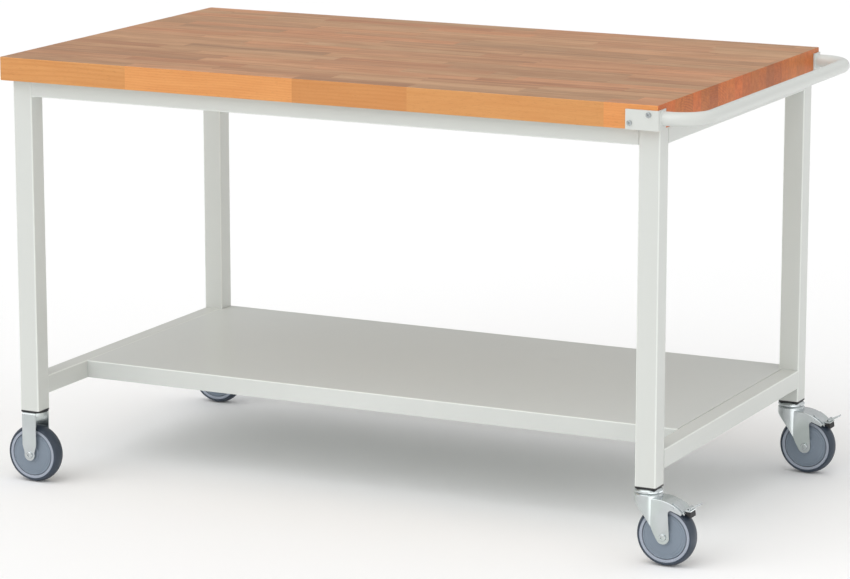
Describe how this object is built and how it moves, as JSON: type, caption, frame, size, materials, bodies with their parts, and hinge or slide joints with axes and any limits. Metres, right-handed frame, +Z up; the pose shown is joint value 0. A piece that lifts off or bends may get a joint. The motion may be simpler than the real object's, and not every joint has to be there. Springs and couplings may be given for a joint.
{
  "type": "mobile workbench",
  "caption": "Mobile workbench: solid wood top on a welded tube frame with a lower steel shelf, a push handle at one end, braked swivel casters under it and fixed casters opposite.",
  "frame": {"origin": "on the floor, under the centre of the overall bounding box", "axes": "+X along the bench towards the push handle, -Y is the front, +Z up"},
  "size_m": [1.619, 0.912, 0.93],
  "materials": {
    "beech": "oiled edge-glued beech",
    "frame_paint": "light grey powder coat",
    "zinc_steel": "bright zinc plate",
    "bearing_steel": "ground steel",
    "tyre_rubber": "dark blue-grey elastic rubber",
    "rim_plastic": "grey moulded plastic",
    "guard_plastic": "blue-grey moulded plastic",
    "black_plastic": "black moulded plastic",
    "brake_rubber": "black rubber"
  },
  "bodies": {
    "root": {"axle_front_left": "zinc_steel", "axle_rear_left": "zinc_steel", "axle_tube_front_left": "zinc_steel", "axle_tube_rear_left": "zinc_steel", "caster_bolts": "zinc_steel", "fixed_fork_front_left": "zinc_steel", "fixed_fork_rear_left": "zinc_steel", "fixing_tabs": "frame_paint", "handle_bracket_front": "frame_paint", "handle_bracket_rear": "frame_paint", "handle_screws": "zinc_steel", "leg_front_left": "frame_paint", "leg_front_right": "frame_paint", "leg_inserts": "black_plastic", "leg_rear_left": "frame_paint", "leg_rear_right": "frame_paint", "push_handle": "frame_paint", "shelf_screws": "zinc_steel", "shelf_stiffener": "frame_paint", "shelf_tray": "frame_paint", "side_rail_left": "frame_paint", "side_rail_right": "frame_paint", "swivel_balls": "bearing_steel", "swivel_head_front_right": "zinc_steel", "swivel_head_rear_right": "zinc_steel", "top_rail_front": "frame_paint", "top_rail_left": "frame_paint", "top_rail_rear": "frame_paint", "top_rail_right": "frame_paint", "worktop": "beech", "worktop_screws": "zinc_steel"},
    "wheel_front_right": {"tyre_front_right": "tyre_rubber", "wheel_core_front_right": "rim_plastic", "thread_guards_front_right": "guard_plastic", "wheel_bearings_front_right": "bearing_steel"},
    "wheel_rear_right": {"tyre_rear_right": "tyre_rubber", "wheel_core_rear_right": "rim_plastic", "thread_guards_rear_right": "guard_plastic", "wheel_bearings_rear_right": "bearing_steel"},
    "wheel_front_left": {"tyre_front_left": "tyre_rubber", "wheel_core_front_left": "rim_plastic", "thread_guards_front_left": "guard_plastic", "wheel_bearings_front_left": "bearing_steel"},
    "wheel_rear_left": {"tyre_rear_left": "tyre_rubber", "wheel_core_rear_left": "rim_plastic", "thread_guards_rear_left": "guard_plastic", "wheel_bearings_rear_left": "bearing_steel"},
    "fork_front_right": {"swivel_fork_front_right": "zinc_steel", "axle_tube_front_right": "zinc_steel", "axle_front_right": "zinc_steel", "pedal_pin_front_right": "zinc_steel"},
    "pedal_front_right": {"brake_pedal_front_right": "zinc_steel", "brake_pad_front_right": "brake_rubber"},
    "fork_rear_right": {"swivel_fork_rear_right": "zinc_steel", "axle_tube_rear_right": "zinc_steel", "axle_rear_right": "zinc_steel", "pedal_pin_rear_right": "zinc_steel"},
    "pedal_rear_right": {"brake_pedal_rear_right": "zinc_steel", "brake_pad_rear_right": "brake_rubber"}
  },
  "joints": [
    {"name": "wheel_spin_front_left", "type": "hinge", "parent": "root", "child": "wheel_front_left", "pos_m": [-0.747, -0.4025, 0.0625], "axis": [0, 1, 0], "continuous": true},
    {"name": "wheel_spin_rear_left", "type": "hinge", "parent": "root", "child": "wheel_rear_left", "pos_m": [-0.747, 0.4025, 0.0625], "axis": [0, 1, 0], "continuous": true},
    {"name": "swivel_front_right", "type": "hinge", "parent": "root", "child": "fork_front_right", "pos_m": [0.688, -0.4025, 0.147], "axis": [0, 0, 1], "continuous": true},
    {"name": "wheel_spin_front_right", "type": "hinge", "parent": "fork_front_right", "child": "wheel_front_right", "pos_m": [0.728, -0.4025, 0.0625], "axis": [0, 1, 0], "continuous": true},
    {"name": "brake_front_right", "type": "hinge", "parent": "fork_front_right", "child": "pedal_front_right", "pos_m": [0.748, -0.4025, 0.125], "axis": [0, 1, 0], "range_deg": [0, 9]},
    {"name": "swivel_rear_right", "type": "hinge", "parent": "root", "child": "fork_rear_right", "pos_m": [0.688, 0.4025, 0.147], "axis": [0, 0, 1], "continuous": true},
    {"name": "wheel_spin_rear_right", "type": "hinge", "parent": "fork_rear_right", "child": "wheel_rear_right", "pos_m": [0.728, 0.4025, 0.0625], "axis": [0, 1, 0], "continuous": true},
    {"name": "brake_rear_right", "type": "hinge", "parent": "fork_rear_right", "child": "pedal_rear_right", "pos_m": [0.748, 0.4025, 0.125], "axis": [0, 1, 0], "range_deg": [0, 9]}
  ]
}
